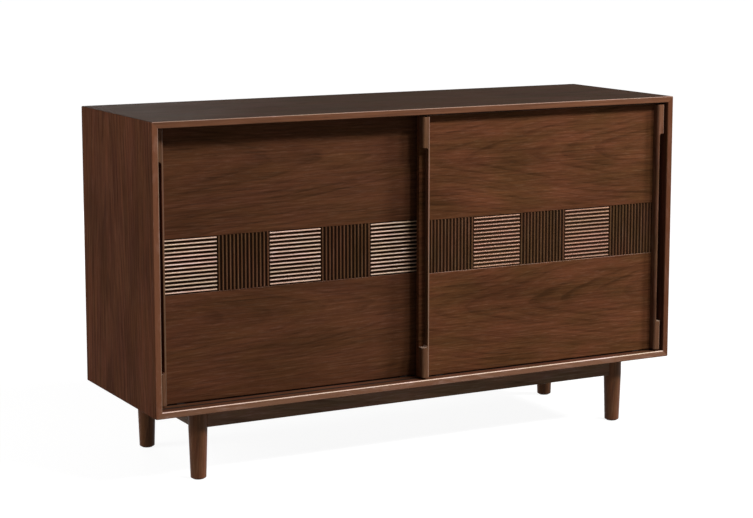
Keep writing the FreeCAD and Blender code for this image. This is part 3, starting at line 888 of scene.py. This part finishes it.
@dataclass
class Case:
    """The mitred case with its back, inside and tracks."""

    body: str = "case"
    inner_ease: float = 0.5 * MM
    screw_radius: float = 3.2 * MM
    screw_facets: int = 20
    screw_crown: float = 0.6 * MM
    screw_recess: float = 0.4 * MM
    screw_spacing: float = 170 * MM
    screw_from_edge: float = 9 * MM
    back_sunk: float = 0.7 * MM

    def build(self) -> None:
        """Build and dress everything that belongs to the case."""
        self.boards()
        self.inside()
        self.back()
        for edge in ("front_bottom", "rear_bottom", "front_top", "rear_top"):
            dress(edge + "_track", TRACK_PLASTIC.material())
        dress("door_buffers", BUFFER_RUBBER.material())
        dress("mitre_tongues", PLYWOOD.material("mitre_tongues", Run.DEEP_ON_TOP, (0.0, 0.0, 0.0)))

    def boards(self) -> None:
        """Finish the four mitred boards, with a painted highlight on roundings that don't face left
        or down.
        """
        level, upright = Run.LEVEL_ON_TOP, Run.UPRIGHT_ON_SIDE
        for node, wood, run, heart, arris in (
                ("top_panel", TOP_WOOD, level, (0.9, 0.05, 0.6), PAINTED_ARRIS_HIGHLIGHT),
                ("bottom_panel", BOTTOM_WOOD, level, (-0.6, 0.1, 0.0), LEDGE_PAINTED_ARRIS_HIGHLIGHT),
                ("left_side_panel", LEFT_SIDE_WOOD, upright, (-0.62, 0.06, 1.2), PAINTED_ARRIS_HIGHLIGHT),
                ("right_side_panel", RIGHT_SIDE_WOOD, upright, (0.62, -0.04, 1.4), PAINTED_ARRIS_HIGHLIGHT)):
            refine(node, self.body, wood, run, heart, painted_highlights=[arris], finish_of=painted_highlights_finish,
                   reshape=widen_opening)

    def inside(self) -> None:
        """Finish the divider, the shelves and the cleats under them."""
        for node, run, heart in (
                ("centre_divider", Run.UPRIGHT_ON_SIDE, (0.06, 0.0, 1.3)),
                ("left_shelf", Run.LEVEL_ON_TOP, (-0.9, 0.03, 0.43)),
                ("right_shelf", Run.LEVEL_ON_TOP, (0.2, 0.03, 0.43))):
            refine(node, self.body, INTERIOR_WOOD, run, heart, self.inner_ease)
        refine("shelf_cleats", self.body, INTERIOR_WOOD, Run.DEEP_ON_SIDE, (0.05, 0.5, 0.4))

    def back(self) -> None:
        """Make the back panel a little sunk in its rebate, held by a row of small screws."""
        low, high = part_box("back_panel")
        face = high.y - self.back_sunk
        panel = cuboid(low, (high.x, face, high.z))
        ease_edges(panel, sharp_edges(panel, CORNER), self.inner_ease)
        name = "back_panel_finished"
        wood = BACK_WOOD.material(name, Run.LEVEL_ON_FRONT, (-1.1, 0.3, 0.42))
        place(panel, name, self.body, BACK_WOOD.slot, [wood], ["back_panel"])
        heads = [self.screw_head(spot) for spot in self.screw_spots(low, high, face)]
        place(joined(heads), "back_screws", self.body, AXLE_STEEL.slot, [AXLE_STEEL.material()])

    def screw_spots(self, low: Vector, high: Vector, face: float) -> list[Vector]:
        """Find where the back screws sit: evenly along the four edges of the panel.

        Args:
            low: Lowest corner of the panel.
            high: Highest corner of the panel.
            face: Distance from front to back of its outer face.

        Returns:
            The middle of each screw.
        """
        left, right = low.x + self.screw_from_edge, high.x - self.screw_from_edge
        under, over = low.z + self.screw_from_edge, high.z - self.screw_from_edge
        spots = []
        count = round((right - left) / self.screw_spacing)
        for i in range(count + 1):
            x = left + (right - left) * i / count
            spots += [Vector((x, face, under)), Vector((x, face, over))]
        count = round((over - under) / self.screw_spacing)
        for i in range(1, count):
            z = under + (over - under) * i / count
            spots += [Vector((left, face, z)), Vector((right, face, z))]
        return spots

    def screw_head(self, spot: Vector) -> Shape:
        """Turn one domed screw head with a round recess, facing backwards.

        Args:
            spot: Middle of the head, on the panel's outer face.

        Returns:
            The head.
        """
        r, crown = self.screw_radius, self.screw_crown
        head = turned([(0.0, -crown / 3), (r, -crown / 3), (r, crown / 4), (0.8 * r, 0.75 * crown),
                       (0.45 * r, crown), (0.0, crown)], Vector(), self.screw_facets)
        top = [f for f in head.faces if f.calc_center_median().z > crown - TOUCH]
        bmesh.ops.dissolve_faces(head, faces=top, use_verts=True)
        cap = max(head.faces, key=lambda f: f.calc_center_median().z)
        bmesh.ops.inset_individual(head, faces=[cap], thickness=0.15 * r, depth=0.0)
        bmesh.ops.translate(head, vec=(0, 0, -self.screw_recess), verts=list(cap.verts))
        backwards = Matrix.Rotation(-math.pi / 2, 3, "X")
        bmesh.ops.rotate(head, cent=(0, 0, 0), matrix=backwards, verts=head.verts)
        bmesh.ops.translate(head, vec=spot, verts=head.verts)
        return head


@dataclass
class Base:
    """Turned legs joined by aprons, with corner braces and felt glides."""

    body: str = "case"
    foot_share: float = 18.3 / 22
    foot_round: float = 2.6 * MM
    foot_steps: int = 5
    facets: int = 64
    ease: float = 0.8 * MM
    heart_aside: float = 40 * MM
    heart_behind: float = 10 * MM

    def build(self) -> None:
        """Build and dress the base."""
        self.legs()
        for node, run, heart in (
                ("front_apron", Run.LEVEL_ON_FRONT, (0.4, -0.1, 0.1)),
                ("rear_apron", Run.LEVEL_ON_FRONT, (-0.8, 0.2, 0.1)),
                ("left_apron", Run.DEEP_ON_SIDE, (-0.5, 0.3, 0.1)),
                ("right_apron", Run.DEEP_ON_SIDE, (0.5, 0.6, 0.1))):
            refine(node, self.body, APRON_WOOD, run, heart, self.ease, SQUARE)
        refine("corner_braces", self.body, APRON_WOOD, Run.LEVEL_ON_TOP, (0.0, 0.0, 0.05),
               self.ease)
        dress("foot_glides", GLIDE_FELT.material())

    def legs(self) -> None:
        """Turn the four legs with a straight top, a taper and a rounded foot."""
        apron_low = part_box("front_apron")[0].z
        for row, figure_from in (("front", -0.2), ("rear", -0.9)):
            node = row + "_legs"
            low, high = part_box(node)
            top_radius = (high.y - low.y) / 2
            foot_radius = top_radius * self.foot_share
            angles = (math.pi / 2 * i / self.foot_steps for i in range(self.foot_steps + 1))
            foot = [(foot_radius - self.foot_round * (1 - math.sin(a)),
                     low.z + self.foot_round * (1 - math.cos(a))) for a in angles]
            profile = [(0.0, low.z), *foot, (top_radius, apron_low), (top_radius, high.z),
                       (0.0, high.z)]
            for side, x in (("left", low.x + top_radius), ("right", high.x - top_radius)):
                middle = Vector((x, (low.y + high.y) / 2, 0.0))
                name = f"{row}_{side}_leg"
                heart = (middle.x + self.heart_aside, middle.y + self.heart_behind, figure_from)
                wood = LEG_WOOD.material(name, Run.UPRIGHT_ON_FRONT, heart)
                leg = turned(profile, middle, self.facets)
                place(leg, name, self.body, LEG_WOOD.slot, [wood], [node], smooth_below=25.0)


@dataclass
class Door:
    """A sliding door with its band of ribbed tiles, its grips and its running gear.

    It takes its side, its veneer, the finishes of its band, the painted highlight on its grips'
    right-facing edges, the way of its first tile's ribs, and the place of its veneer's figure.
    """

    side: str
    wood: Walnut
    band: Ribs
    grip_highlight: Walnut
    first_ribs_level: bool
    heart: Point
    tile_count: int = 5
    ribs_per_tile: int = 14
    rib_width: float = 4.6 * MM
    rib_height: float = 3.0 * MM
    rib_round: float = 2.1 * MM
    rib_steps: int = 8
    rib_end_gap: float = 0.25 * MM
    rib_sunk: float = 0.2 * MM
    groove_depth: float = 0.3 * MM
    ease: float = 0.6 * MM
    grip_corner: float = 40.0
    grip_heart_aside: float = 30 * MM
    grip_heart_behind: float = 20 * MM
    tile_heart_aside: float = 300 * MM
    tile_heart_behind: float = 50 * MM
    tile_heart_drop: float = 100 * MM

    @property
    def body(self) -> str:
        """Name of the body that the door is."""
        return self.side + "_door"

    def node(self, piece: str) -> str:
        """Return the node name of one of the door's pieces."""
        return f"{self.body}_{piece}"

    def build(self) -> None:
        """Build and dress the door."""
        # The panel's roundings that don't face left or down get a painted highlight
        refine(self.node("panel"), self.body, self.wood, Run.LEVEL_ON_FRONT, self.heart, self.ease,
               SQUARE, [PAINTED_ARRIS_HIGHLIGHT], painted_highlights_finish, round_foot)
        for index in range(self.tile_count):
            level = self.first_ribs_level == (index % 2 == 0)
            self.tile(self.node(f"fluted_tile_{index + 1}"), level, index)
        self.grip("left", -0.5)
        self.grip("right", -1.3)
        for piece, finish in (("roller_housings", HOUSING_PLASTIC), ("axles", AXLE_STEEL),
                              ("top_guides", GUIDE_NYLON), ("left_roller", ROLLER_NYLON),
                              ("right_roller", ROLLER_NYLON)):
            dress(self.node(piece), finish.material())

    def grip(self, edge: str, figure_from: float) -> None:
        """Finish the grip on one edge of the door, with painted highlights on its rounding and
        notch foot.

        Args:
            edge: Which edge, left or right.
            figure_from: Height at which its figure starts.
        """
        node = self.node(edge + "_grip")
        low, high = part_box(node)
        middle = (low + high) / 2
        heart = (middle.x + self.grip_heart_aside, middle.y + self.grip_heart_behind, figure_from)
        refine(node, self.body, GRIP_WOOD, Run.UPRIGHT_ON_FRONT, heart, self.ease, self.grip_corner,
               [self.grip_highlight, LEDGE_PAINTED_ARRIS_HIGHLIGHT], grip_finish)

    def tile(self, node: str, level: bool, index: int) -> None:
        """Build one tile of round-topped ribs on a thin backing.

        Args:
            node: Node that the tile replaces.
            level: True if the ribs run from left to right.
            index: Place of the tile in the band, which shifts its figure.
        """
        low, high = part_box(node)
        floor = low.y + self.rib_height
        shapes = [cuboid((low.x, floor, low.z), high)]
        along, across = (0, 2) if level else (2, 0)
        pitch = (high[across] - low[across]) / self.ribs_per_tile
        for i in range(self.ribs_per_tile):
            centre = low[across] + (i + 0.5) * pitch
            start, end = low.copy(), high.copy()
            start[across], end[across] = centre - self.rib_width / 2, centre + self.rib_width / 2
            start[along] += self.rib_end_gap
            end[along] -= self.rib_end_gap
            end.y = floor + self.rib_sunk
            shapes.append(self.rib(start, end))

        def finish_of(face: Face) -> int:
            """Choose the finish of one face of the tile.

            Args:
                face: Face of the tile.

            Returns:
                1 for painted shade in grooves and under level ribs, 2 for their fronts' painted
                highlight, else 0.
            """
            if face.calc_center_median().y > floor - self.groove_depth:
                return 1
            # Level ribs' undersides get painted shade, and their fronts a painted highlight
            if level and face.normal.z < RIB_TOP:
                return 1 if face.normal.z < RIB_UNDERSIDE else 2
            return 0

        name = node + "_finished"
        run = Run.LEVEL_ON_FRONT if level else Run.UPRIGHT_ON_FRONT
        heart = (low.x - self.tile_heart_aside, low.y + self.tile_heart_behind,
                 low.z - self.tile_heart_drop * index)
        woods = [self.band.upright, self.band.groove]
        if level:
            woods = [self.band.level, self.band.groove, self.band.glint]
        finishes = [wood.material(f"{name}_{i}", run, heart) for i, wood in enumerate(woods)]
        place(joined(shapes), name, self.body, woods[0].slot, finishes, [node], smooth_below=50.0,
              finish_of=finish_of)

    def rib(self, start: Vector, end: Vector) -> Shape:
        """Make one rib with its front edges well rounded.

        Args:
            start: Lowest corner.
            end: Highest corner.

        Returns:
            The rib.
        """
        shape = cuboid(start, end)
        front = [e for e in shape.edges if all(abs(v.co.y - start.y) < TOUCH for v in e.verts)]
        ease_edges(shape, front, self.rib_round, self.rib_steps)
        return shape


# Studio


@dataclass(frozen=True)
class Lamp:
    """A rectangular soft lamp: its place, the point that it faces, its sides and its watts."""

    name: str
    spot: Point
    aim: Point
    size: tuple[float, float]
    power: float

    def hang(self) -> None:
        """Hang the lamp in the scene."""
        data = bpy.data.lights.new(self.name, "AREA")
        data.shape = "RECTANGLE"
        data.size, data.size_y = self.size
        data.energy = self.power
        lamp = bpy.data.objects.new(self.name, data)
        lamp.location = self.spot
        towards = Vector(self.aim) - Vector(self.spot)
        lamp.rotation_euler = towards.to_track_quat("-Z", "Y").to_euler()
        bpy.context.scene.collection.objects.link(lamp)


DOORS_MIDDLE = (0.2, -0.2, 0.5)
LAMPS = (
    Lamp("key", (0.9, -2.7, 3.4), DOORS_MIDDLE, (0.6, 0.4), 58.0),
    Lamp("glint_lamp", (2.0, -2.5, 2.9), DOORS_MIDDLE, (0.6, 0.3), 57.0),
    Lamp("right_lamp", (5.75, -3.2, 4.25), DOORS_MIDDLE, (1.2, 0.75), 410.0),
    Lamp("low_lamp", (-1.7, -3.4, 0.4), (-0.3, -0.2, 0.2), (1.6, 0.6), 3.5),
    Lamp("left_lamp", (-3.4, 0.5, 1.6), (-0.7, 0.0, 0.5), (1.2, 1.2), 41.0),
    Lamp("back_lamp", (0.3, 4.2, 1.0), (0.0, 0.0, 0.5), (2.0, 1.0), 45.0),
)


@dataclass
class Studio:
    """Plain pale floor, soft lamps and the camera."""

    floor_size: float = 120.0
    floor_colour: float = 0.22
    white_near: float = 0.92
    white_far: float = 0.995
    near: float = 1.0
    far: float = 5.0
    world_light: float = 0.07
    camera_place: Point = (-2.2806, -4.2018, 1.2527)
    camera_pitch: float = 8.345
    camera_turn: float = -28.222
    focal_pixels: float = 1965.7
    centre_above: float = 45.0
    sensor: float = 36.0

    def build(self) -> None:
        """Build the floor, the light and the camera."""
        self.floor()
        self.world()
        for lamp in LAMPS:
            lamp.hang()
        self.camera()

    def floor(self) -> None:
        """Lay a wide white floor that keeps the cabinet's soft shadow."""
        shape = bmesh.new()
        bmesh.ops.create_grid(shape, x_segments=1, y_segments=1, size=self.floor_size / 2)
        mesh = bpy.data.meshes.new("floor")
        shape.to_mesh(mesh)
        shape.free()
        floor = bpy.data.objects.new("floor", mesh)
        bpy.context.scene.collection.objects.link(floor)
        made, graph, shader = blank_material("floor")
        shader.inputs["Base Color"].default_value = (self.floor_colour,) * 3 + (1.0,)
        shader.inputs["Roughness"].default_value = 0.9
        shader.inputs["Specular IOR Level"].default_value = 0.0
        away = graph.node("VectorMath", {0: graph.spot()}, operation="LENGTH").outputs["Value"]
        white = graph.remap(away, self.near, self.far, self.white_near, self.white_far, smooth=True)
        glow = graph.node("Emission", {"Strength": graph.math("MULTIPLY", graph.seen(), white)})
        both = graph.node("AddShader", {0: shader.outputs[0], 1: glow.outputs[0]})
        graph.link(both.outputs[0], made.node_tree.nodes["Material Output"].inputs["Surface"])
        mesh.materials.append(made)

    def world(self) -> None:
        """Set a soft even light that looks white to the camera and in gloss."""
        world = bpy.data.worlds.new("studio")
        world.use_nodes = True
        bpy.context.scene.world = world
        graph = Graph(world.node_tree)
        background = world.node_tree.nodes["Background"]
        background.inputs["Color"].default_value = (1.0, 1.0, 1.0, 1.0)
        strength = graph.remap(graph.seen(), 0.0, 1.0, self.world_light, 1.0)
        graph.link(strength, background.inputs["Strength"])

    def camera(self) -> None:
        """Set the camera to the left of the cabinet's front, a little above it."""
        data = bpy.data.cameras.new("camera")
        data.sensor_width = self.sensor
        data.lens = self.focal_pixels * self.sensor / IMAGE_WIDTH
        data.shift_y = -self.centre_above / IMAGE_WIDTH
        camera = bpy.data.objects.new("camera", data)
        camera.location = self.camera_place
        pitch, turn = math.radians(90 - self.camera_pitch), math.radians(self.camera_turn)
        camera.rotation_euler = (pitch, 0.0, turn)
        bpy.context.scene.collection.objects.link(camera)
        bpy.context.scene.camera = camera


def main() -> None:
    """Build the cabinet and its studio in order."""
    logging.basicConfig(level=logging.INFO, format="%(message)s")
    bpy.context.scene.view_settings.view_transform = "Standard"
    Case().build()
    Base().build()
    Door("left", LEFT_DOOR_WOOD, LEFT_BAND, DIM_PAINTED_ARRIS_HIGHLIGHT, True, (-0.9, -0.11, 0.375)).build()
    Door("right", RIGHT_DOOR_WOOD, RIGHT_BAND, PAINTED_ARRIS_HIGHLIGHT, False, (0.45, -0.16, 0.345)).build()
    Studio().build()


if __name__ == "__main__":
    main()
